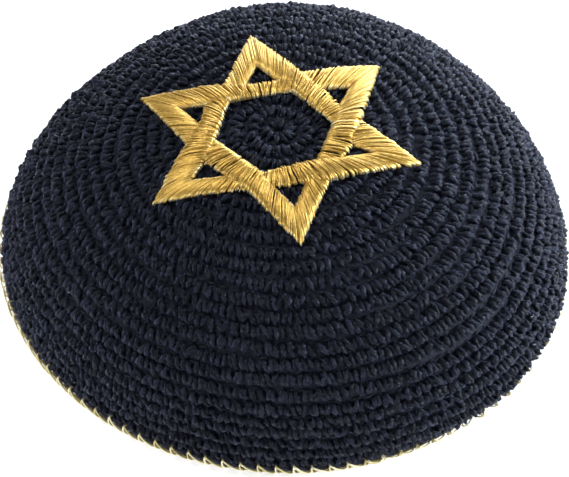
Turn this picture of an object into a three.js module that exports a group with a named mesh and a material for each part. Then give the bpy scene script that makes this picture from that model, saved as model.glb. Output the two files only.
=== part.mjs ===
// A crocheted kippah: a deep dome of dark yarn worked in the round, with a six-pointed star in
// gold thread on the crown and a gold whip-stitched edge. Millimetres and degrees, +Z up, the
// wearer's front towards -Y, and the underside of the edging resting on the plane z = 0.

import * as THREE from "three";

// The dome. A round's place is its share of the arc from the crown, 0, to the rim, 1.
const rimRadius = 80;
const frontToBack = 0.908; // share of the side-to-side width
const rimSlope = 90; // slope of the wall at the rim, from level at the crown
const evenSlope = 0.4; // share of that slope that is gained evenly along the arc
const crownLean = { x: -1.5, y: -0.1 }; // the crown's centre sits a little left of the rim's

// The crochet. The first round is closed on a small knot, and each further one is a low ridge.
const rounds = 24;
const knotRounds = 0.25; // reach of the knot, in rounds
const ridge = 0.6;
const wall = 3.2; // from the top of a ridge to the inside

// Soft waves of the rim's plan, as shares of the radius.
const planWaves = [
  { count: 2, cosine: -0.001, sine: 0.011 },
  { count: 3, cosine: -0.013, sine: -0.014 },
  { count: 4, cosine: 0.013, sine: -0.002 },
  { count: 5, cosine: 0, sine: 0.005 },
];

// Right of the front, the wall swells out, and its last rounds turn in under the cap.
const tuck = { turn: -37, spread: 31, swell: 5.2, depth: 5.5, from: 0.93 };

// The gold edging: a band under the rim that stands a little proud of the wall on both sides.
const edging = { height: 1.6, proud: 0.5, round: 0.5 };
const gap = 0.3; // between two pieces that lie on each other

// The star, in millimetres and degrees along the cloth about its own centre. Each row is one
// point of the star: its tip, the notch and the inner corner clockwise of it, and its small
// three-sided eye, which has a top towards the tip and a base.
const starCentre = { x: -1.9, y: 2.3 };
const starPoints = [
  { tip: 37.1, turn: 101.7, notch: 20.1, notchTurn: 70.3, inner: 11.8, innerTurn: 65.5,
    eyeTop: 21.9, eyeTurn: 102.9, eyeBase: 14.9, baseTurn: 104.1, eyeHalf: 4.0 },
  { tip: 38.2, turn: 41.7, notch: 23.3, notchTurn: 5.1, inner: 15.6, innerTurn: 0.2,
    eyeTop: 24.6, eyeTurn: 34.4, eyeBase: 18.6, baseTurn: 31.7, eyeHalf: 3.3 },
  { tip: 40.5, turn: -14.3, notch: 24.2, notchTurn: -51.2, inner: 17.0, innerTurn: -47.2,
    eyeTop: 28.0, eyeTurn: -18.5, eyeBase: 22.2, baseTurn: -24.0, eyeHalf: 2.1 },
  { tip: 39.5, turn: -78.3, notch: 23.4, notchTurn: -105.7, inner: 17.1, innerTurn: -97.6,
    eyeTop: 28.2, eyeTurn: -77.0, eyeBase: 22.0, baseTurn: -76.2, eyeHalf: 3.7 },
  { tip: 40.1, turn: -141.1, notch: 23.7, notchTurn: -162.6, inner: 15.7, innerTurn: -156.5,
    eyeTop: 28.1, eyeTurn: -137.3, eyeBase: 22.2, baseTurn: -133.0, eyeHalf: 3.2 },
  { tip: 38.9, turn: -198.5, notch: 19.0, notchTurn: -224.9, inner: 13.5, innerTurn: -210.5,
    eyeTop: 25.4, eyeTurn: -193.0, eyeBase: 19.3, baseTurn: -188.9, eyeHalf: 3.2 },
];
const satin = { edge: 0.7, middle: 1.5, swell: 2.6 }; // padded: thin at its edges, full at 2.6 in
const starSplits = 2; // times that each flat face is cut in four before it is bent

// Facets.
const sectors = 48;
const slopeSteps = 960;
const insideRows = 20;

const radians = THREE.MathUtils.degToRad;

// The dome's profile for a rim radius of 1, from its slope: radius and depth below the crown.
function makeProfile() {
  const rows = [{ radius: 0, drop: 0 }];
  for (let i = 1; i <= slopeSteps; i++) {
    const share = (i - 0.5) / slopeSteps;
    const slope = radians(rimSlope) * (evenSlope * share + (1 - evenSlope) * share * share);
    const last = rows[i - 1];
    rows.push({
      radius: last.radius + Math.cos(slope) / slopeSteps,
      drop: last.drop + Math.sin(slope) / slopeSteps,
    });
  }
  const scale = rimRadius / rows[slopeSteps].radius;
  return { rows, scale };
}

const profile = makeProfile();
const arc = profile.scale; // length along the cloth from the crown to the rim
const rimHeight = edging.height + gap;

// Radius and height of the plain dome at a share of the arc.
function profileAt(share) {
  const at = THREE.MathUtils.clamp(share, 0, 1) * slopeSteps;
  const i = Math.min(Math.floor(at), slopeSteps - 1);
  const [low, high] = [profile.rows[i], profile.rows[i + 1]];
  const mix = (a, b) => profile.scale * THREE.MathUtils.lerp(a, b, at - i);
  const depth = profile.scale * profile.rows[slopeSteps].drop;
  return {
    radius: mix(low.radius, high.radius),
    height: rimHeight + depth - mix(low.drop, high.drop),
  };
}

// How far out of its plan the wall stands at a place, by its swell and the turned-in rim.
function swellAt(share, turn) {
  const away = Math.atan2(Math.sin(turn - radians(tuck.turn)), Math.cos(turn - radians(tuck.turn)));
  const beside = Math.exp(-((away / radians(tuck.spread)) ** 2));
  const low = Math.max(share - tuck.from, 0) / (1 - tuck.from);
  return beside * (tuck.swell * share * share - tuck.depth * low * low);
}

// A point on the tops of the ridges, at a share of the arc and a turn about the crown.
function onDome(share, turn) {
  const { radius, height } = profileAt(share);
  let wave = 0;
  for (const { count, cosine, sine } of planWaves) {
    wave += cosine * Math.cos(count * turn) + sine * Math.sin(count * turn);
  }
  const reach = radius * (1 + wave * share * share) + swellAt(share, turn);
  const lean = (1 - share) ** 2 * (1 + 2 * share);
  return new THREE.Vector3(
    reach * Math.cos(turn) + crownLean.x * lean,
    frontToBack * reach * Math.sin(turn) + crownLean.y * lean,
    height,
  );
}

// The outward normal there, from short steps along the cloth and round it.
function normalAt(share, turn) {
  const step = 0.002;
  const inner = Math.max(share, step);
  const low = Math.min(inner + step, 1);
  const down = onDome(low, turn).sub(onDome(low - 2 * step, turn));
  const round = onDome(inner, turn + step).sub(onDome(inner, turn - step));
  return down.cross(round).normalize();
}

// A point at a depth under the tops of the ridges.
function underDome(share, turn, depth) {
  return onDome(share, turn).addScaledVector(normalAt(share, turn), -depth);
}

// A point at a level distance inside the rim's plan, at a height of its own.
function insideRim(turn, inset, height) {
  const inward = normalAt(1, turn).setZ(0).setLength(-inset);
  return onDome(1, turn).add(inward).setZ(height);
}

// A closed mesh from rings of points. Each ring has one point for each sector, and a ring of
// one point closes an end. The last ring may join the first.
function meshFromRings(rings, closeLoop = false) {
  const points = [];
  const faces = [];
  const starts = rings.map((ring) => {
    points.push(...ring);
    return points.length - ring.length;
  });
  const spans = closeLoop ? rings.length : rings.length - 1;
  for (let i = 0; i < spans; i++) {
    const j = (i + 1) % rings.length;
    for (let k = 0; k < sectors; k++) {
      const next = (k + 1) % sectors;
      const [a, b] = rings[i].length > 1 ? [starts[i] + k, starts[i] + next] : [starts[i], starts[i]];
      const [c, d] = rings[j].length > 1 ? [starts[j] + k, starts[j] + next] : [starts[j], starts[j]];
      if (a !== b) faces.push(a, c, b);
      if (c !== d) faces.push(b, c, d);
    }
  }
  return geometryFrom(points, faces);
}

function geometryFrom(points, faces) {
  const geometry = new THREE.BufferGeometry().setFromPoints(points);
  geometry.setIndex(faces);
  geometry.computeVertexNormals();
  return geometry;
}

const ringOf = (pointAt) =>
  Array.from({ length: sectors }, (_, k) => pointAt((2 * Math.PI * k) / sectors));

// The cap: down the outside over each ridge and groove, across the rim, and up the inside.
function makeCap() {
  const rings = [[underDome(0, 0, ridge / 2)]];
  const allRounds = rounds + knotRounds;
  for (let i = 0; i < rounds; i++) {
    const groove = (i + knotRounds) / allRounds;
    const top = (i + knotRounds + 0.5) / allRounds;
    rings.push(ringOf((turn) => underDome(groove, turn, ridge)));
    rings.push(ringOf((turn) => underDome(top, turn, 0)));
  }
  rings.push(ringOf((turn) => insideRim(turn, ridge, rimHeight)));
  rings.push(ringOf((turn) => insideRim(turn, wall, rimHeight)));
  for (let i = insideRows - 1; i > 0; i--) {
    rings.push(ringOf((turn) => underDome(i / insideRows, turn, wall)));
  }
  rings.push([underDome(0, 0, wall)]);
  return meshFromRings(rings);
}

// The edging: a band with a flat underside and rounded sides, along the rim's own plan.
function makeEdging() {
  const middle = (wall + ridge) / 2;
  const half = (wall - ridge) / 2 + edging.proud;
  const section = [
    { out: half - edging.round, up: 0 },
    { out: half, up: edging.round },
    { out: half, up: edging.height - edging.round },
    { out: half - edging.round, up: edging.height },
    { out: edging.round - half, up: edging.height },
    { out: -half, up: edging.height - edging.round },
    { out: -half, up: edging.round },
    { out: edging.round - half, up: 0 },
  ];
  const rings = section.map(({ out, up }) => ringOf((turn) => insideRim(turn, middle - out, up)));
  return meshFromRings(rings.reverse(), true);
}

const flatPoint = (reach, turn) =>
  new THREE.Vector2(reach * Math.cos(radians(turn)), reach * Math.sin(radians(turn)));

// The flat star: its outlines as closed lists of corners, and faces that fill each point of it.
function flatStar() {
  const corners = starPoints.map((row) => {
    const base = flatPoint(row.eyeBase, row.baseTurn);
    const across = flatPoint(row.eyeHalf, row.baseTurn + 90);
    return {
      tip: flatPoint(row.tip, row.turn),
      notch: flatPoint(row.notch, row.notchTurn),
      inner: flatPoint(row.inner, row.innerTurn),
      eyeTop: flatPoint(row.eyeTop, row.eyeTurn),
      eyeLeft: base.clone().add(across),
      eyeRight: base.clone().sub(across),
    };
  });
  const faces = [];
  const outlines = [[], corners.map((corner) => corner.inner)];
  corners.forEach((corner, i) => {
    const before = corners[(i + corners.length - 1) % corners.length];
    const { tip, notch, inner, eyeTop, eyeLeft, eyeRight } = corner;
    const middle = before.inner.clone().lerp(inner, 0.5);
    faces.push([before.inner, eyeLeft, before.notch], [before.inner, middle, eyeLeft]);
    faces.push([middle, eyeRight, eyeLeft], [middle, inner, eyeRight], [inner, notch, eyeRight]);
    faces.push([before.notch, eyeLeft, eyeTop], [before.notch, eyeTop, tip]);
    faces.push([notch, tip, eyeTop], [notch, eyeTop, eyeRight]);
    outlines[0].push(tip, notch);
    outlines.push([eyeTop, eyeRight, eyeLeft]);
  });
  return { faces, outlines };
}

// Cuts each flat face in four, as often as asked.
function splitFaces(faces, times) {
  if (times === 0) return faces;
  const halfway = (a, b) => a.clone().add(b).multiplyScalar(0.5);
  const parts = faces.flatMap(([a, b, c]) => {
    const [ab, bc, ca] = [halfway(a, b), halfway(b, c), halfway(c, a)];
    return [[a, ab, ca], [ab, b, bc], [ca, bc, c], [ab, bc, ca]];
  });
  return splitFaces(parts, times - 1);
}

// Distance from a flat point to the nearest outline of the star.
function insetOf(point, outlines) {
  let nearest = Infinity;
  for (const outline of outlines) {
    outline.forEach((start, i) => {
      const along = outline[(i + 1) % outline.length].clone().sub(start);
      const from = point.clone().sub(start);
      const share = THREE.MathUtils.clamp(from.dot(along) / along.lengthSq(), 0, 1);
      nearest = Math.min(nearest, from.addScaledVector(along, -share).length());
    });
  }
  return nearest;
}

// The point of the cloth under a flat point of the star, raised above the ridges.
function onCloth(point, raise) {
  const [x, y] = [point.x + starCentre.x, point.y + starCentre.y];
  return underDome(Math.hypot(x, y) / arc, Math.atan2(y, x), -raise);
}

// The star: its flat faces bent over the dome, a lower and an upper skin, and the sides.
function makeStar() {
  const { faces, outlines } = flatStar();
  const flat = [];
  const places = new Map();
  const placeOf = (point) => {
    const key = `${point.x.toFixed(4)},${point.y.toFixed(4)}`;
    if (!places.has(key)) places.set(key, flat.push(point) - 1);
    return places.get(key);
  };
  const upper = splitFaces(faces, starSplits).map((face) => {
    const [a, b, c] = face.map(placeOf);
    const turnsLeft = flat[b].clone().sub(flat[a]).cross(flat[c].clone().sub(flat[a])) > 0;
    return turnsLeft ? [a, b, c] : [a, c, b];
  });
  const tops = flat.map((point) => {
    const swell = Math.min(insetOf(point, outlines) / satin.swell, 1);
    return onCloth(point, gap + satin.edge + (satin.middle - satin.edge) * Math.sqrt(swell));
  });
  const undersides = flat.map((point) => onCloth(point, gap));
  const count = flat.length;
  const edges = new Set(upper.flatMap(([a, b, c]) => [`${a},${b}`, `${b},${c}`, `${c},${a}`]));
  const indices = upper.flatMap(([a, b, c]) => [a, b, c, count + a, count + c, count + b]);
  for (const edge of edges) {
    const [a, b] = edge.split(",").map(Number);
    if (!edges.has(`${b},${a}`)) indices.push(a, count + a, b, b, count + a, count + b);
  }
  return geometryFrom([...tops, ...undersides], indices);
}

const yarn = new THREE.MeshStandardMaterial({ color: 0x14161e, roughness: 0.95, metalness: 0 });
const goldThread = new THREE.MeshStandardMaterial({ color: 0xc9a04e, roughness: 0.4, metalness: 0.6 });
const edgeThread = new THREE.MeshStandardMaterial({ color: 0xb59a52, roughness: 0.45, metalness: 0.5 });

function named(name, geometry, material) {
  const mesh = new THREE.Mesh(geometry, material);
  mesh.name = name;
  return mesh;
}

const kippah = new THREE.Group();
kippah.add(named("crochet_cap", makeCap(), yarn));
kippah.add(named("star_embroidery", makeStar(), goldThread));
kippah.add(named("rim_edging", makeEdging(), edgeThread));

// The origin is the middle of the cap's box, on the plane that the edging rests on.
const box = new THREE.Box3().setFromObject(kippah);
const middle = box.getCenter(new THREE.Vector3());
kippah.position.set(-middle.x, -middle.y, 0);
kippah.updateMatrixWorld(true);

export default kippah;
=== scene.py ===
import math

import bpy
import numpy as np
from mathutils import Matrix, Vector


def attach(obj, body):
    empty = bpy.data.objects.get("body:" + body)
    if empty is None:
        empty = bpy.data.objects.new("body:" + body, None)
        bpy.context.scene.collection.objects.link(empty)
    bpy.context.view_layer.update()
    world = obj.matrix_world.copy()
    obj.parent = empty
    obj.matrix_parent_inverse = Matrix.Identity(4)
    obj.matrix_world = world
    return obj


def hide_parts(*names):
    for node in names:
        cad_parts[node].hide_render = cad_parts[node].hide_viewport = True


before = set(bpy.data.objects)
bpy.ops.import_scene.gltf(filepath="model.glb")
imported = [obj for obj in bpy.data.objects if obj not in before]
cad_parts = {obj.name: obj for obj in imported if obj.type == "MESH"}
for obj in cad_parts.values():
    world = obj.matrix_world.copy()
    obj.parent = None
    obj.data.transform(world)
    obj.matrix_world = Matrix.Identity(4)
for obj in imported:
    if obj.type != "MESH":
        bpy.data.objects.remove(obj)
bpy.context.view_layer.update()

scene = bpy.context.scene
mm = 0.001
rng = np.random.default_rng(18)  # every random draw below comes from this one

# The dome, as the part's source has it. Its slopes, lean, waves and tuck were fitted to the photo's
# outline and rounds, and then rounded. A share is a place along the arc, 0 crown to 1 rim
dome = {
    "rimRadius": 80 * mm, "frontToBack": 0.908, "rimSlope": 90, "evenSlope": 0.4,
    "lean": (-1.5 * mm, -0.1 * mm), "rounds": 24, "knotRounds": 0.25, "rimHeight": 1.9 * mm,
    "waves": ((2, -0.001, 0.011), (3, -0.013, -0.014), (4, 0.013, -0.002), (5, 0.0, 0.005)),
    "tuckTurn": -37, "tuckSpread": 31, "swell": 5.2 * mm, "tuckDepth": 5.5 * mm, "tuckFrom": 0.93,
    "centre": (0.698 * mm, -1.294 * mm),  # of the rim, from the frame's origin
}


def unit(vectors):
    return vectors / np.linalg.norm(vectors, axis=-1, keepdims=True)


def makeProfile(steps=960):
    share = (np.arange(steps) + 0.5) / steps
    even = dome["evenSlope"]
    slope = math.radians(dome["rimSlope"]) * (even * share + (1 - even) * share**2)
    radius = np.concatenate([[0], np.cumsum(np.cos(slope))]) / steps
    drop = np.concatenate([[0], np.cumsum(np.sin(slope))]) / steps
    arc = dome["rimRadius"] / radius[-1]
    return arc, radius * arc, dome["rimHeight"] + (drop[-1] - drop) * arc


arc, radiusTable, heightTable = makeProfile()
shareTable = np.linspace(0, 1, len(radiusTable))
allRounds = dome["rounds"] + dome["knotRounds"]
fullTurn = np.linspace(0, 2 * np.pi, 721)  # every half degree, both ends in


def onDome(share, turn):
    share, turn = np.broadcast_arrays(share, turn)
    within = np.clip(share, 0, 1)
    radius = np.interp(within, shareTable, radiusTable)
    height = np.interp(within, shareTable, heightTable) - np.maximum(share - 1, 0) * arc
    wave = sum(c * np.cos(n * turn) + s * np.sin(n * turn) for n, c, s in dome["waves"])
    away = np.angle(np.exp(1j * (turn - math.radians(dome["tuckTurn"]))))
    beside = np.exp(-((away / math.radians(dome["tuckSpread"])) ** 2))
    low = np.clip((within - dome["tuckFrom"]) / (1 - dome["tuckFrom"]), 0, 1)
    swell = beside * (dome["swell"] * within**2 - dome["tuckDepth"] * low**2)
    reach = radius * (1 + wave * within**2) + swell
    lean = (1 - within) ** 2 * (1 + 2 * within)
    x = reach * np.cos(turn) + dome["lean"][0] * lean + dome["centre"][0]
    y = dome["frontToBack"] * reach * np.sin(turn) + dome["lean"][1] * lean + dome["centre"][1]
    return np.stack([x, y, height], -1)


def domeNormal(share, turn, step=0.002):
    share = np.maximum(share, step)
    down = onDome(share + step, turn) - onDome(share - step, turn)
    across = onDome(share, turn + step) - onDome(share, turn - step)
    return unit(np.cross(down, across))


def place(share, turn, rise):
    return onDome(share, turn) + domeNormal(share, turn) * np.asarray(rise)[..., None]


def spreadOf(share, turn, step=0.002):  # metres of cloth for each radian of turn
    across = onDome(share, turn + step) - onDome(share, turn - step)
    return np.linalg.norm(across, axis=-1) / (2 * step)


def evenTurns(share, count, start):  # turns that part a round into equal lengths of cloth
    between = (fullTurn[1:] + fullTurn[:-1]) / 2
    lengths = np.concatenate([[0], np.cumsum(spreadOf(share, between))])
    wanted = (np.arange(count) + start) % count / count * lengths[-1]
    return np.interp(wanted, lengths, fullTurn)


# Fitted to the photo together with the dome, and rounded
camera = {
    "place": (8.57 * mm, -266.25 * mm, 440.48 * mm), "aim": (0.52 * mm, -4.86 * mm, 8.71 * mm),
    "lens": 111.55, "roll": -0.36,
}


def makeCamera():
    data = bpy.data.cameras.new("photoCamera")
    data.lens = camera["lens"]
    data.clip_end = 10
    eye = bpy.data.objects.new("photoCamera", data)
    scene.collection.objects.link(eye)
    towards = Vector(camera["aim"]) - Vector(camera["place"])
    turn = towards.to_track_quat("-Z", "Y").to_matrix()
    turn = turn @ Matrix.Rotation(math.radians(camera["roll"]), 3, "Z")
    eye.location = camera["place"]
    eye.rotation_euler = turn.to_euler()
    scene.camera = eye


makeCamera()
print("camera set")


def meshPiece(name, points, faces, material, attributes=None):
    # faces is a list of arrays, each of faces with the same number of corners
    points = points * 1.0
    points[:, 2] = np.maximum(points[:, 2], 0)  # nothing sinks into the table
    mesh = bpy.data.meshes.new(name)
    corners = np.concatenate([group.ravel() for group in faces])
    sizes = np.concatenate([np.full(len(group), group.shape[1]) for group in faces])
    mesh.vertices.add(len(points))
    mesh.vertices.foreach_set("co", points.astype(np.float32).ravel())
    mesh.loops.add(len(corners))
    mesh.polygons.add(len(sizes))
    mesh.polygons.foreach_set("loop_start", np.concatenate([[0], np.cumsum(sizes)[:-1]]))
    mesh.polygons.foreach_set("vertices", corners)
    mesh.update(calc_edges=True)
    mesh.validate()
    for title, values in (attributes or {}).items():
        kind = "FLOAT" if values.ndim == 1 else "FLOAT_VECTOR"
        field = "value" if values.ndim == 1 else "vector"
        layer = mesh.attributes.new(title, kind, "POINT")
        layer.data.foreach_set(field, values.astype(np.float32).ravel())
    mesh.polygons.foreach_set("use_smooth", np.full(len(sizes), True))
    mesh.materials.append(material)
    piece = bpy.data.objects.new(name, mesh)
    scene.collection.objects.link(piece)
    print(name, "has", int((sizes - 2).sum()), "triangles")
    return piece


roundSection = np.ones(6)  # radius factors round a strand, one for each of its sides
plySection = np.tile([0.78, 1.08], 3)  # three plies with grooves between them


def strands(paths, outward, radii, tone, section=roundSection, twist=0.0, start=0.0, rough=0.0):
    # paths and outward are strands x points x 3, radii strands x points, tone strands x 1 or points
    count, steps = paths.shape[:2]
    sides = len(section)
    along = unit(np.gradient(paths, axis=1))
    side = unit(np.cross(along, outward))
    lift = np.cross(side, along)
    pieces = np.linalg.norm(np.diff(paths, axis=1), axis=-1)
    length = np.concatenate([np.zeros((count, 1)), np.cumsum(pieces, axis=1)], axis=1)
    around = np.arange(sides) * 2 * np.pi / sides
    angle = around + (length * twist + np.broadcast_to(start, (count,))[:, None])[..., None]
    size = radii[..., None] * section
    size = size + rng.normal(0, 1, size.shape) * rough
    points = paths[:, :, None] + size[..., None] * (
        np.cos(angle)[..., None] * side[:, :, None] + np.sin(angle)[..., None] * lift[:, :, None])
    index = np.arange(count * steps * sides).reshape(count, steps, sides)
    low, high = index[:, :-1], index[:, 1:]
    walls = np.stack([low, np.roll(low, -1, 2), np.roll(high, -1, 2), high], -1).reshape(-1, 4)
    ends = np.concatenate([index[:, 0, ::-1], index[:, -1]])
    spot = np.broadcast_to(around, size.shape)
    offset = rng.uniform(0, 1, (count, 1, 1))  # so that no two strands have the same grain
    rope = np.stack([np.cos(spot) * radii[..., None], np.sin(spot) * radii[..., None],
                     offset + np.broadcast_to(length[..., None], size.shape)], -1)
    tone = tone if tone.ndim == 2 else tone[:, None]
    tones = np.repeat(np.broadcast_to(np.clip(tone, 0, 2), (count, steps)).ravel(), sides)
    return points.reshape(-1, 3), [walls, ends], rope.reshape(-1, 3), tones


def joinStrands(parts):
    points, ropes, tones = (np.concatenate([part[i] for part in parts]) for i in (0, 2, 3))
    faces = []
    start = 0
    for part in parts:
        faces += [group + start for group in part[1]]
        start += len(part[0])
    return points, faces, {"rope": ropes, "tone": tones}


def addSocket(group, title, way, kind, value=None):
    socket = group.interface.new_socket(title, in_out=way, socket_type=kind)
    if value is not None:
        socket.default_value = value


def fibreGroup():
    # fine fibres that run along a strand
    group = bpy.data.node_groups.new("fibreGrain", "ShaderNodeTree")
    addSocket(group, "Rope", "INPUT", "NodeSocketVector")
    addSocket(group, "Fineness", "INPUT", "NodeSocketFloat", 3000.0)
    addSocket(group, "Stretch", "INPUT", "NodeSocketFloat", 0.15)
    addSocket(group, "Height", "OUTPUT", "NodeSocketFloat")
    nodes, links = group.nodes, group.links
    inputs, outputs = nodes.new("NodeGroupInput"), nodes.new("NodeGroupOutput")
    parts = nodes.new("ShaderNodeSeparateXYZ")
    links.new(inputs.outputs["Rope"], parts.inputs[0])
    longer = nodes.new("ShaderNodeMath")
    longer.operation = "MULTIPLY"
    links.new(parts.outputs["Z"], longer.inputs[0])
    links.new(inputs.outputs["Stretch"], longer.inputs[1])
    joined = nodes.new("ShaderNodeCombineXYZ")
    links.new(parts.outputs["X"], joined.inputs["X"])
    links.new(parts.outputs["Y"], joined.inputs["Y"])
    links.new(longer.outputs[0], joined.inputs["Z"])
    noise = nodes.new("ShaderNodeTexNoise")
    noise.inputs["Detail"].default_value = 3
    noise.inputs["Roughness"].default_value = 0.6
    links.new(joined.outputs[0], noise.inputs["Vector"])
    links.new(inputs.outputs["Fineness"], noise.inputs["Scale"])
    links.new(noise.outputs["Fac"], outputs.inputs["Height"])
    return group


def shadeGroup():
    # from dark to light with a strand's own tone and with a grain; a tone above 1 adds the pale
    # on the star's thread ends the pale colour is a painted highlight
    group = bpy.data.node_groups.new("strandShade", "ShaderNodeTree")
    addSocket(group, "Tone", "INPUT", "NodeSocketFloat", 0.5)
    addSocket(group, "Grain", "INPUT", "NodeSocketFloat", 0.5)
    addSocket(group, "Grain Share", "INPUT", "NodeSocketFloat", 0.4)
    addSocket(group, "Dark", "INPUT", "NodeSocketColor", (0.01, 0.01, 0.01, 1))
    addSocket(group, "Light", "INPUT", "NodeSocketColor", (0.1, 0.1, 0.1, 1))
    addSocket(group, "Pale", "INPUT", "NodeSocketColor", (0.2, 0.2, 0.2, 1))
    addSocket(group, "Color", "OUTPUT", "NodeSocketColor")
    nodes, links = group.nodes, group.links
    inputs, outputs = nodes.new("NodeGroupInput"), nodes.new("NodeGroupOutput")
    spread = nodes.new("ShaderNodeMapRange")  # the grain's middle values, drawn apart
    spread.inputs["From Min"].default_value = 0.34
    spread.inputs["From Max"].default_value = 0.66
    links.new(inputs.outputs["Grain"], spread.inputs["Value"])
    blend = nodes.new("ShaderNodeMix")
    links.new(inputs.outputs["Grain Share"], blend.inputs["Factor"])
    links.new(inputs.outputs["Tone"], blend.inputs["A"])
    links.new(spread.outputs["Result"], blend.inputs["B"])
    colour = nodes.new("ShaderNodeMix")
    colour.data_type = "RGBA"
    links.new(blend.outputs["Result"], colour.inputs["Factor"])
    links.new(inputs.outputs["Dark"], colour.inputs[6])
    links.new(inputs.outputs["Light"], colour.inputs[7])
    above = nodes.new("ShaderNodeMath")
    above.operation = "SUBTRACT"
    above.use_clamp = True
    above.inputs[1].default_value = 1.0
    links.new(inputs.outputs["Tone"], above.inputs[0])
    paler = nodes.new("ShaderNodeMix")
    paler.data_type = "RGBA"
    links.new(above.outputs[0], paler.inputs["Factor"])
    links.new(colour.outputs[2], paler.inputs[6])
    links.new(inputs.outputs["Pale"], paler.inputs[7])
    links.new(paler.outputs[2], outputs.inputs["Color"])
    return group


fibreGrain, strandShade = fibreGroup(), shadeGroup()


def strandMaterial(name, look):
    # a yarn or thread: its fibres, its strand-to-strand shades, and its constant sockets
    material = bpy.data.materials.new(name)
    material.use_nodes = True
    nodes, links = material.node_tree.nodes, material.node_tree.links
    shader = nodes["Principled BSDF"]
    rope, tone = nodes.new("ShaderNodeAttribute"), nodes.new("ShaderNodeAttribute")
    rope.attribute_name, tone.attribute_name = "rope", "tone"
    grain, shade = nodes.new("ShaderNodeGroup"), nodes.new("ShaderNodeGroup")
    grain.node_tree, shade.node_tree = fibreGrain, strandShade
    links.new(rope.outputs["Vector"], grain.inputs["Rope"])
    grain.inputs["Fineness"].default_value = look["fineness"]
    grain.inputs["Stretch"].default_value = look["stretch"]
    links.new(tone.outputs["Fac"], shade.inputs["Tone"])
    links.new(grain.outputs["Height"], shade.inputs["Grain"])
    shade.inputs["Grain Share"].default_value = look["grainShare"]
    for title in ("Dark", "Light", "Pale"):
        shade.inputs[title].default_value = (*look[title.lower()], 1)
    links.new(shade.outputs["Color"], shader.inputs["Base Color"])
    bump = nodes.new("ShaderNodeBump")
    bump.inputs["Strength"].default_value = look["bump"]
    bump.inputs["Distance"].default_value = look["bumpDistance"]
    links.new(grain.outputs["Height"], bump.inputs["Height"])
    links.new(bump.outputs["Normal"], shader.inputs["Normal"])
    for socket, value in look["sockets"].items():
        shader.inputs[socket].default_value = value
    return material


yarnLook = {
    "fineness": 3000, "stretch": 0.3, "grainShare": 0.55, "dark": (0.0004, 0.0006, 0.0012),
    "light": (0.024, 0.028, 0.048), "pale": (0.08, 0.09, 0.11), "bump": 1.0,
    "bumpDistance": 0.45 * mm,
    "sockets": {"Roughness": 0.36, "Specular IOR Level": 0.16, "Sheen Weight": 0.28,
                "Sheen Roughness": 0.2, "Sheen Tint": (0.5, 0.58, 1.0, 1)},
}
# the gold's pale is a painted highlight, given to the ends of the star's threads
goldLook = {
    "fineness": 3400, "stretch": 0.5, "grainShare": 0.45, "dark": (0.28, 0.14, 0.012),
    "light": (0.98, 0.66, 0.16), "pale": (1.0, 0.92, 0.6), "bump": 0.7, "bumpDistance": 0.12 * mm,
    "sockets": {"Metallic": 0.6, "Roughness": 0.32, "Specular IOR Level": 0.6},
}
edgeLook = {
    "fineness": 3400, "stretch": 0.5, "grainShare": 0.4, "dark": (0.20, 0.15, 0.03),
    "light": (0.82, 0.70, 0.32), "pale": (1.0, 0.95, 0.7), "bump": 0.4, "bumpDistance": 0.08 * mm,
    "sockets": {"Metallic": 0.5, "Roughness": 0.48},
}
lintLook = {
    "fineness": 3400, "stretch": 0.5, "grainShare": 0.3, "dark": (0.30, 0.30, 0.32),
    "light": (0.60, 0.60, 0.64), "pale": (0.8, 0.8, 0.8), "bump": 0.2, "bumpDistance": 0.05 * mm,
    "sockets": {"Roughness": 0.8},
}
yarn = strandMaterial("navyYarn", yarnLook)
goldThread = strandMaterial("goldThread", goldLook)
edgeThread = strandMaterial("edgeThread", edgeLook)
paleLint = strandMaterial("paleLint", lintLook)
print("materials made")

stitch = {
    "width": 3.1 * mm, "radius": 0.74 * mm, "steps": 7, "twist": 900.0, "rough": 0.09 * mm,
    "from": -0.1 * mm, "to": 3.6 * mm,  # down the round, from its upper edge
    "apart": (0.5 * mm, 0.95 * mm),  # of each leg from the stitch's middle, upper and lower end
    "slant": 1.0 * mm, "deep": -2.4 * mm, "top": -0.74 * mm, "lumps": 0.26 * mm,
    "slantShares": {-1: 0.8, 1: 1.25},  # of the left leg and the right one
    # how far the legs differ from each other
    "turnJog": 0.06, "asideJog": 0.24 * mm, "slantJog": 0.95 * mm, "downJog": 0.26 * mm,
    "riseJog": 0.2 * mm, "radiusJog": 0.08, "toneBias": 2.2,
}
loop = {
    "half": 0.62, "steps": 5, "down": 0.12 * mm, "slant": 0.5 * mm, "rise": -2.15 * mm,
    "droop": 0.5 * mm, "riseJog": 0.15 * mm, "radius": 0.6 * mm, "tone": 0.35,
}
sets = {"crownRounds": (0, 12), "shoulderRounds": (12, 17), "sideRounds": (17, 21),
        "lowerRounds": (21, 24)}
drift = {"share": 0.0065, "at": 0.74, "reach": 0.085}  # the middle rounds lie a little low
wander = {"reach": 0.25 * mm, "slow": 3, "quick": 8, "quickShare": 0.8}


def roundEdge(row):  # the share of the arc at a round's upper edge
    even = (row + dome["knotRounds"]) / allRounds
    return even + drift["share"] * np.exp(-(((even - drift["at"]) / drift["reach"]) ** 2))


def waviness(turn, row):  # how far a round wanders up or down, in metres
    phase = row * 1.7
    quick = wander["quickShare"] * np.sin(wander["quick"] * turn - 2.1 * phase)
    return wander["reach"] * (np.sin(wander["slow"] * turn + phase) + quick)


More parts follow.
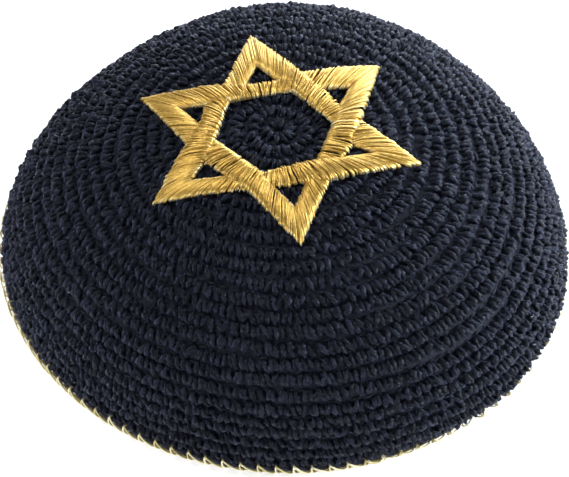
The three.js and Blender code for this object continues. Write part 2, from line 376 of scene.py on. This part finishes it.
def legsOfRound(row):
    edge = roundEdge(row)
    middle = edge + 0.5 / allRounds
    around = spreadOf(middle, fullTurn[:-1]).mean() * 2 * np.pi
    count = max(6, round(around / stitch["width"]))
    turn = evenTurns(middle, count, rng.uniform())
    width = around / count
    turn = turn + rng.normal(0, stitch["turnJog"], count) * width / spreadOf(middle, turn)
    narrow = min(1, width / stitch["width"])
    t = np.linspace(0, 1, stitch["steps"])
    legs = []
    for hand in (-1, 1):
        jog = rng.normal(0, 1, (6, count, 1))
        start, end = stitch["apart"]
        aside = hand * (start + (end - start) * np.sin(t * np.pi / 2)) * narrow
        aside = aside + stitch["slant"] * (t - 0.5) * stitch["slantShares"][hand]
        aside = aside + stitch["asideJog"] * jog[0] + stitch["slantJog"] * jog[1] * (t - 0.5)
        down = stitch["from"] + (stitch["to"] - stitch["from"]) * t + stitch["downJog"] * jog[2]
        arch = 1 - np.abs(2 * t - 1) ** (2.4 + 0.3 * jog[3])
        rise = stitch["deep"] + (stitch["top"] - stitch["deep"]) * arch
        rise = rise + stitch["riseJog"] * jog[4]
        rise = rise + stitch["lumps"] * np.sin(9 * t + 6 * jog[5])
        share = np.maximum(edge + (down + waviness(turn[:, None], row)) / arc, 0.004)
        angle = turn[:, None] + aside / spreadOf(middle, turn)[:, None]
        radii = stitch["radius"] * narrow**0.5 * (0.68 + 0.32 * np.sin(t * np.pi) ** 0.7)
        radii = radii * (1 + stitch["radiusJog"] * jog[5])
        legs.append((place(share, angle, rise), domeNormal(share, angle), radii))
    return turn, width, [np.concatenate(group) for group in zip(*legs)]


def frontLoops(row, turn, width):
    # the top strand of each stitch, which lies across the groove under the next round
    t = np.linspace(-loop["half"], loop["half"], loop["steps"])
    down = loop["down"] - loop["slant"] * t + waviness(turn[:, None], row)
    share = roundEdge(row + 1) + down / arc
    angle = turn[:, None] + t * width / spreadOf(share, turn[:, None])
    rise = loop["rise"] - loop["droop"] * (2 * t) ** 2
    rise = rise + loop["riseJog"] * rng.normal(size=(len(turn), 1))
    radii = np.broadcast_to(loop["radius"] * (1 - 0.5 * (1.5 * t) ** 4), share.shape)
    return place(share, angle, rise), domeNormal(share, angle), radii


def makeRounds():
    pieces = []
    for name, (first, last) in sets.items():
        parts = []
        for row in range(first, last):
            turn, width, (paths, outward, radii) = legsOfRound(row)
            start = rng.uniform(0, 2 * np.pi, len(paths))
            tone = rng.uniform(0, 1, len(paths)) ** stitch["toneBias"]
            parts.append(strands(paths, outward, radii, tone, plySection, stitch["twist"], start,
                                 stitch["rough"]))
            loops = frontLoops(row, turn, width)
            parts.append(strands(*loops, rng.uniform(0, loop["tone"], len(turn))))
        points, faces, attributes = joinStrands(parts)
        pieces.append(meshPiece(name, points, faces, yarn, attributes))
    return pieces


roundPieces = makeRounds()

cloth = {
    "outer": -1.9 * mm, "inner": -3.2 * mm, "relief": 0.5 * mm, "outerRows": 36, "innerRows": 97,
    "sectors": 300, "bottom": 1.2 * mm, "crownShare": 0.01, "tone": 0.45,
}


def makeCloth():
    # the dense cloth behind the stitches, one closed body, with the bars of the wrong side inside
    turns = np.arange(cloth["sectors"]) * 2 * np.pi / cloth["sectors"]
    low = 1 + cloth["bottom"] / arc
    rings = [place(share, turns, np.full(len(turns), cloth["outer"]))
             for share in np.linspace(cloth["crownShare"], low, cloth["outerRows"])]
    for share in np.linspace(low, cloth["crownShare"], cloth["innerRows"]):
        at = share * allRounds - dome["knotRounds"]
        row, within = math.floor(at), at - math.floor(at)
        count = max(6, round(spreadOf(share, turns).mean() * 2 * np.pi / stitch["width"]))
        bars = np.sin(within * np.pi) ** 2 * (0.7 + 0.3 * np.cos(count * turns + row * 2.4))
        legs = np.cos(within * np.pi) ** 2 * 0.45 * (1 + np.cos(2 * count * turns + row))
        rise = cloth["inner"] + cloth["relief"] * (1 - np.minimum(bars + legs, 1))
        rings.append(place(share, turns, rise))
    count = len(turns)
    points = np.concatenate(rings)
    index = np.arange(len(points)).reshape(-1, count)
    upper, lower = index[:-1], index[1:]
    walls = np.stack([upper, lower, np.roll(lower, -1, 1), np.roll(upper, -1, 1)], -1)
    ends = [index[0][None], index[-1][None, ::-1]]
    return meshPiece("innerCloth", points, [walls.reshape(-1, 4), *ends], yarn,
                     {"rope": points * 1.0, "tone": np.full(len(points), cloth["tone"])})


innerCloth = makeCloth()

# The star, as the part's source has it, clockwise from the back point: millimetres and degrees.
# Its corners were read off the photo, and a solver laid them on the dome as these values
starCentre = np.array([-1.9, 2.3]) * mm
starPoints = [
    {"tip": 37.1, "turn": 101.7, "notch": 20.1, "notchTurn": 70.3, "inner": 11.8, "innerTurn": 65.5,
     "eyeTop": 21.9, "eyeTurn": 102.9, "eyeBase": 14.9, "baseTurn": 104.1, "eyeHalf": 4.0},
    {"tip": 38.2, "turn": 41.7, "notch": 23.3, "notchTurn": 5.1, "inner": 15.6, "innerTurn": 0.2,
     "eyeTop": 24.6, "eyeTurn": 34.4, "eyeBase": 18.6, "baseTurn": 31.7, "eyeHalf": 3.3},
    {"tip": 40.5, "turn": -14.3, "notch": 24.2, "notchTurn": -51.2, "inner": 17.0,
     "innerTurn": -47.2, "eyeTop": 28.0, "eyeTurn": -18.5, "eyeBase": 22.2, "baseTurn": -24.0,
     "eyeHalf": 2.1},
    {"tip": 39.5, "turn": -78.3, "notch": 23.4, "notchTurn": -105.7, "inner": 17.1,
     "innerTurn": -97.6, "eyeTop": 28.2, "eyeTurn": -77.0, "eyeBase": 22.0, "baseTurn": -76.2,
     "eyeHalf": 3.7},
    {"tip": 40.1, "turn": -141.1, "notch": 23.7, "notchTurn": -162.6, "inner": 15.7,
     "innerTurn": -156.5, "eyeTop": 28.1, "eyeTurn": -137.3, "eyeBase": 22.2, "baseTurn": -133.0,
     "eyeHalf": 3.2},
    {"tip": 38.9, "turn": -198.5, "notch": 19.0, "notchTurn": -224.9, "inner": 13.5,
     "innerTurn": -210.5, "eyeTop": 25.4, "eyeTurn": -193.0, "eyeBase": 19.3, "baseTurn": -188.9,
     "eyeHalf": 3.2},
]
satin = {
    "spacing": 0.42 * mm, "radius": 0.22 * mm, "height": 1.1 * mm, "sunk": -0.3 * mm,
    "crossing": 0.6 * mm, "over": (0.20, 0.47), "under": (0.53, 0.80), "fray": 0.32 * mm,
    # the end lift on the next line is a painted highlight: it raises the tone of each thread's ends
    # towards the pale
    "turnJog": 0.009, "gaps": 0.05, "eyeRoom": 0.5 * mm, "paintedEndHighlight": 1.6,
    "lower": 0, "short": 0.1 * mm, "eyeSpan": (0.36, 0.64), "underShare": 0.6,
    "fullReach": 4.5 * mm,  # a narrower column lies lower
    "shareJog": 0.16, "heightJog": 0.11, "radiusJog": 0.12, "tone": (0.5, 0.24),
}
padding = {
    "spacing": 0.9 * mm, "radius": 0.42 * mm, "lower": 0.45 * mm, "short": 0.35 * mm,
    # the padding's tone is cut to this share: painted shade in the gaps between the satin threads
    "paintedShadeShare": 0.35,
}
columnShares = np.array([0, 0.04, 0.10, 0.2, 0.35, 0.5, 0.65, 0.8, 0.90, 0.96, 1])


def flatPoint(reach, turn):
    return reach * mm * np.array([math.cos(math.radians(turn)), math.sin(math.radians(turn))])


def starCorners():
    corners = []
    for row in starPoints:
        base = flatPoint(row["eyeBase"], row["baseTurn"])
        across = flatPoint(row["eyeHalf"], row["baseTurn"] + 90)
        corners.append({
            "tip": flatPoint(row["tip"], row["turn"]),
            "notch": flatPoint(row["notch"], row["notchTurn"]),
            "inner": flatPoint(row["inner"], row["innerTurn"]),
            "eyeTop": flatPoint(row["eyeTop"], row["eyeTurn"]),
            "eyeLeft": base + across, "eyeRight": base - across,
        })
    return corners


def alongLine(corners, shares):  # points at shares of a broken line's length
    corners = np.array(corners)
    lengths = np.concatenate([[0], np.cumsum(np.linalg.norm(np.diff(corners, axis=0), axis=1))])
    at = np.clip(shares, 0, 1) * lengths[-1]
    return np.stack([np.interp(at, lengths, corners[:, i]) for i in (0, 1)], -1), lengths[-1]


def smoothBetween(value, low, high):
    t = np.clip((value - low) / (high - low), 0, 1)
    return t * t * (3 - 2 * t)


def within(share, span, soft=0.06):  # 1 inside a span of shares, with soft ends
    low, high = span
    return smoothBetween(share, low, low + soft) * (1 - smoothBetween(share, high - soft, high))


def starColumn(outer, inner, layer):
    # one satin column: threads from its outer to its inner line, arched over the cloth
    count = round(alongLine(outer, np.zeros(1))[1] / layer["spacing"])
    share = (np.arange(count) + 0.5 + rng.normal(0, satin["shareJog"], count)) / count
    outside = alongLine(outer, share + rng.normal(0, satin["turnJog"], count))[0]
    inside = alongLine(inner, share + rng.normal(0, satin["turnJog"], count))[0]
    reach = np.linalg.norm(inside - outside, axis=1, keepdims=True)
    way = (inside - outside) / reach
    fray = rng.normal(0, 1, (2, count, 1)) * satin["fray"]
    atEye = satin["eyeRoom"] * within(share, satin["eyeSpan"])[:, None]
    outside = outside - way * (np.abs(fray[0]) - layer["short"] - atEye)
    inside = inside + way * (0.7 * np.abs(fray[1]) - layer["short"] - satin["eyeRoom"])
    q = columnShares
    flat = outside[:, None] + (inside - outside)[:, None] * q[:, None]
    full = np.minimum(reach / satin["fullReach"], 1)
    height = full * satin["height"] - layer["lower"]
    height = height + rng.normal(0, satin["heightJog"], (count, 1)) * mm
    cross = within(share, satin["over"]) - satin["underShare"] * within(share, satin["under"])
    height = height + satin["crossing"] * cross[:, None]
    arch = (1 - np.abs(2 * q - 1) ** 4) ** 0.55
    rise = satin["sunk"] + (height - satin["sunk"]) * arch
    spot = flat + starCentre
    down = np.hypot(spot[..., 0], spot[..., 1]) / arc
    turn = np.arctan2(spot[..., 1], spot[..., 0])
    thickness = 1 + satin["radiusJog"] * rng.normal(size=(count, 1))
    radii = layer["radius"] * thickness * np.ones(len(q))
    kept = rng.uniform(size=count) > satin["gaps"]
    # painted highlight: near both ends each thread's tone is lifted above 1, towards the pale colour
    tone = rng.normal(*satin["tone"], (count, 1)) + satin["paintedEndHighlight"] * np.abs(2 * q - 1) ** 7
    paths, outward = place(down, turn, rise), domeNormal(down, turn)
    return strands(paths[kept], outward[kept], radii[kept], tone[kept])


def makeStar():
    # each side of the two triangles is one satin column from tip to tip, mitred at its ends
    corners = starCorners()
    upper, lower = [], []
    for k in range(6):
        first, middle, last = corners[k], corners[(k + 1) % 6], corners[(k + 2) % 6]
        outer = [first["tip"], first["notch"], middle["eyeLeft"], middle["eyeRight"],
                 middle["notch"], last["tip"]]
        inner = [first["eyeTop"], first["eyeRight"], first["inner"], middle["inner"],
                 last["eyeLeft"], last["eyeTop"]]
        upper.append(starColumn(outer, inner, satin))
        lower.append(starColumn(outer, inner, padding))
    pieces = []
    for name, parts in (("starThreads", upper), ("starPadding", lower)):
        points, faces, attributes = joinStrands(parts)
        # painted shade: the padding threads are darkened to stand for the shade in the gaps of the
        # satin above
        if name == "starPadding":
            attributes["tone"] *= padding["paintedShadeShare"]
        pieces.append(meshPiece(name, points, faces, goldThread, attributes))
    return pieces


starPieces = makeStar()

hem = {
    "stitches": 100, "radius": 1.15 * mm, "inset": -1.1 * mm, "half": 0.75, "steps": 9,
    "droop": 0.9 * mm, "thin": 0.45, "downJog": 0.1 * mm, "riseJog": 0.06 * mm, "tone": 0.8,
    "twist": 500.0,
}


def makeHem():
    # the last round's loops, laid along the rim like a rope
    turn = evenTurns(1.0, hem["stitches"], 0.5)
    width = spreadOf(1.0, turn).mean() * 2 * np.pi / hem["stitches"]
    t = np.linspace(-hem["half"], hem["half"], hem["steps"])
    nearEnd = (t / hem["half"]) ** 4
    down = (0.35 + 0.9 * t) * mm + hem["downJog"] * rng.normal(size=(len(turn), 1))
    share = 1 + down / arc
    angle = turn[:, None] + t * width / spreadOf(1.0, turn)[:, None]
    rise = hem["inset"] - hem["droop"] * nearEnd
    rise = rise + hem["riseJog"] * rng.normal(size=(len(turn), 1))
    radii = hem["radius"] * (1 - hem["thin"] * nearEnd) * np.ones((len(turn), 1))
    tone = rng.uniform(0, hem["tone"], len(turn))
    points, faces, rope, tones = strands(place(share, angle, rise), domeNormal(share, angle), radii,
                                         tone, plySection, hem["twist"])
    return meshPiece("hemRound", points, faces, yarn, {"rope": rope, "tone": tones})


hemRound = makeHem()

whip = {"radius": 0.27 * mm, "top": 5.0 * mm, "radiusJog": 0.1, "tone": (1.25, 0.3)}


def strandThrough(knots, steps):  # smooth curve through knots, strands x knots x 3
    count = knots.shape[1]
    before, after = 2 * knots[:, :1] - knots[:, 1:2], 2 * knots[:, -1:] - knots[:, -2:-1]
    padded = np.concatenate([before, knots, after], 1)
    at = np.linspace(0, count - 1, steps)
    i = np.minimum(at.astype(int), count - 2)
    f = (at - i)[:, None]
    a, b, c, d = (padded[:, i + n] for n in range(4))
    return 0.5 * (2 * b + (c - a) * f + (2 * a - 5 * b + 4 * c - d) * f**2
                  + (3 * b - a - 3 * c + d) * f**3)


def rimKnots(turn, width, knots):
    # knots are (along the rim in stitches, height above the table in mm, rise in mm) of each one
    along, height, rise = (np.stack([np.broadcast_to(value, turn.shape) for value in group], -1)
                           for group in zip(*knots))
    share = 1 + (dome["rimHeight"] - height * mm) / arc
    angle = turn[:, None] + along * width / spreadOf(1.0, turn)[:, None]
    return place(share, angle, rise * mm), domeNormal(share, angle)


def makeWhipStitches():
    # each stitch is a short steep stroke and a long one that leans on to the next
    count = hem["stitches"]
    turn = evenTurns(1.0, count, 0.0)
    width = spreadOf(1.0, turn).mean() * 2 * np.pi / count
    jog = rng.normal(0, 1, (6, count))
    top = whip["top"] / mm + 0.3 * jog[0]
    late = 0.86 + 0.06 * jog[2]
    short = [(0.02 * jog[1] + 0.02, top - 0.5, -0.6), (-0.03, top - 0.3, 0.6), (-0.02, 2.6, 0.9),
             (0.16, 0.9, 0.5), (0.22, 0.4, -1.0)]
    long = [(-0.04, top - 0.5, -0.6), (0.04, top + 0.05, 0.7),
            (0.5 * late, 3.1 + 0.15 * jog[3], 1.0), (late, 0.9, 0.5), (late + 0.08, 0.4, -1.2),
            (late + 0.1, 0.55, -2.9), (late + 0.1, 2.2, -3.5)]
    parts = []
    for knots, steps in ((short, 9), (long, 15)):
        places, outward = rimKnots(turn, width, knots)
        paths, up = strandThrough(places, steps), unit(strandThrough(outward, steps))
        thickness = 1 + whip["radiusJog"] * rng.normal(size=(count, 1))
        radii = whip["radius"] * thickness * np.ones(steps)
        parts.append(strands(paths, up, radii, rng.normal(*whip["tone"], count)))
    points, faces, attributes = joinStrands(parts)
    return meshPiece("whipStitches", points, faces, edgeThread, attributes)


whipStitches = makeWhipStitches()

laid = {
    "steps": 400, "sides": 6, "radius": 0.36 * mm, "height": 0.5 * mm, "wave": 0.1 * mm,
    "inset": 0.15 * mm, "tone": 0.15,
}


def makeLaidThread():
    steps, sides = laid["steps"], laid["sides"]
    turn = np.linspace(0, 2 * np.pi, steps, endpoint=False)
    wave = laid["wave"] * np.cos(turn * hem["stitches"])
    share = 1 + (dome["rimHeight"] - laid["height"] - wave) / arc
    path = place(share, turn, wave - laid["inset"])
    along = unit(np.roll(path, -1, 0) - np.roll(path, 1, 0))
    side = unit(np.cross(along, domeNormal(1.0, turn)))
    lift = np.cross(side, along)
    angle = np.arange(sides) * 2 * np.pi / sides
    ring = np.cos(angle)[:, None] * side[:, None] + np.sin(angle)[:, None] * lift[:, None]
    points = (path[:, None] + laid["radius"] * ring).reshape(-1, 3)
    index = np.arange(steps * sides).reshape(steps, sides)
    ahead = np.roll(index, -1, 0)
    walls = np.stack([index, np.roll(index, -1, 1), np.roll(ahead, -1, 1), ahead], -1)
    rope = np.stack([np.tile(np.cos(angle), steps) * laid["radius"],
                     np.tile(np.sin(angle), steps) * laid["radius"],
                     np.repeat(turn * dome["rimRadius"], sides)], -1)
    return meshPiece("laidThread", points, [walls.reshape(-1, 4)], edgeThread,
                     {"rope": rope, "tone": np.full(len(points), laid["tone"])})


laidThread = makeLaidThread()

fuzz = {"hairs": 3500, "radius": 0.035 * mm, "length": 2.2 * mm, "lift": 0.7 * mm}
lint = {"radius": 0.09 * mm, "length": 1.6 * mm, "lift": 0.3 * mm}
# share of the arc and turn in degrees of each speck
lintSpots = [(0.55, 101), (0.72, 140), (0.80, -30), (0.88, -32), (0.70, 215), (0.55, 22)]


def makeHairs(name, share, turn, look, material, steps=5):
    # loose fibre ends that stand a little off the yarn
    count = len(share)
    heading, bend = rng.uniform(0, 2 * np.pi, count), rng.normal(0, 1.1, count)
    t = np.linspace(0, 1, steps)
    length = look["length"] * rng.uniform(0.5, 1.3, count)[:, None]
    way = heading[:, None] + bend[:, None] * t
    across, down = np.cos(way) * length * t, np.sin(way) * length * t
    lift = rng.uniform(0.15, 1.2, count)[:, None] * look["lift"] * np.sin(t * 2.2)
    angle = turn[:, None] + across / spreadOf(np.maximum(share, 0.05), turn)[:, None]
    where = share[:, None] + down / arc
    paths = place(where, angle, lift - 0.3 * mm)
    radii = look["radius"] * (1 - 0.5 * t) * np.ones((count, 1))
    points, faces, rope, tones = strands(paths, domeNormal(where, angle), radii,
                                         rng.uniform(0.3, 1, count), np.ones(3))
    return meshPiece(name, points, faces, material, {"rope": rope, "tone": tones})


def makeFuzz():
    share = np.sqrt(rng.uniform(0.0004, 1, fuzz["hairs"])) * 0.995
    turn = rng.uniform(0, 2 * np.pi, fuzz["hairs"])
    spots = np.array(lintSpots)
    specks = makeHairs("lintSpecks", spots[:, 0], np.radians(spots[:, 1]), lint, paleLint)
    return makeHairs("yarnFuzz", share, turn, fuzz, yarn), specks


yarnFuzz, lintSpecks = makeFuzz()
print("pieces made")

jobs = [
    ("crochet_cap", "yarn", [*roundPieces, innerCloth, yarnFuzz, lintSpecks]),
    ("rim_edging", "yarn", [hemRound]),
    ("rim_edging", "edge_thread", [whipStitches, laidThread]),
    ("star_embroidery", "gold_thread", starPieces),
]
for node, slot, pieces in jobs:
    for piece in pieces:
        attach(piece, "root")
        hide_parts(node)

studio = {
    "floorSize": 12.0, "floor": (0.9, 0.9, 0.9), "floorGlow": 0.6, "world": 0.2,
    "lamps": {
        "keyLight": {"energy": 4.3, "size": 0.25, "spot": (-0.30, 0.20, 0.85), "tint": (1, 1, 1)},
        "sideLight": {"energy": 24.0, "size": 0.6, "spot": (0.9, 0.15, 0.15), "tint": (0.8, 0.88, 1)},
        "backLight": {"energy": 14.0, "size": 0.6, "spot": (0.2, 0.95, 0.15), "tint": (0.8, 0.88, 1)},
        "frontLight": {"energy": 3.5, "size": 0.35, "spot": (-0.40, -0.85, 0.3),
                       "tint": (0.82, 0.88, 1)},
    },
}


def makeFloor():
    half = studio["floorSize"] / 2
    corners = np.array([(-half, -half, 0), (half, -half, 0), (half, half, 0), (-half, half, 0)])
    material = bpy.data.materials.new("paleFloor")
    material.use_nodes = True
    shader = material.node_tree.nodes["Principled BSDF"]
    shader.inputs["Base Color"].default_value = (*studio["floor"], 1)
    shader.inputs["Roughness"].default_value = 0.9
    shader.inputs["Emission Color"].default_value = (1, 1, 1, 1)
    shader.inputs["Emission Strength"].default_value = studio["floorGlow"]
    meshPiece("studioFloor", corners, [np.array([[0, 1, 2, 3]])], material)


def makeLights():
    world = bpy.data.worlds.new("softWorld")
    world.use_nodes = True
    world.node_tree.nodes["Background"].inputs["Color"].default_value = (1, 1, 1, 1)
    world.node_tree.nodes["Background"].inputs["Strength"].default_value = studio["world"]
    scene.world = world
    for name, lamp in studio["lamps"].items():
        data = bpy.data.lights.new(name, "AREA")
        data.energy, data.size, data.color = lamp["energy"], lamp["size"], lamp["tint"]
        light = bpy.data.objects.new(name, data)
        light.location = lamp["spot"]
        towards = Vector((0, 0, 0.03)) - Vector(lamp["spot"])
        light.rotation_euler = towards.to_track_quat("-Z", "Y").to_euler()
        scene.collection.objects.link(light)
    scene.view_settings.view_transform = "Standard"


makeFloor()
makeLights()
print("studio made")
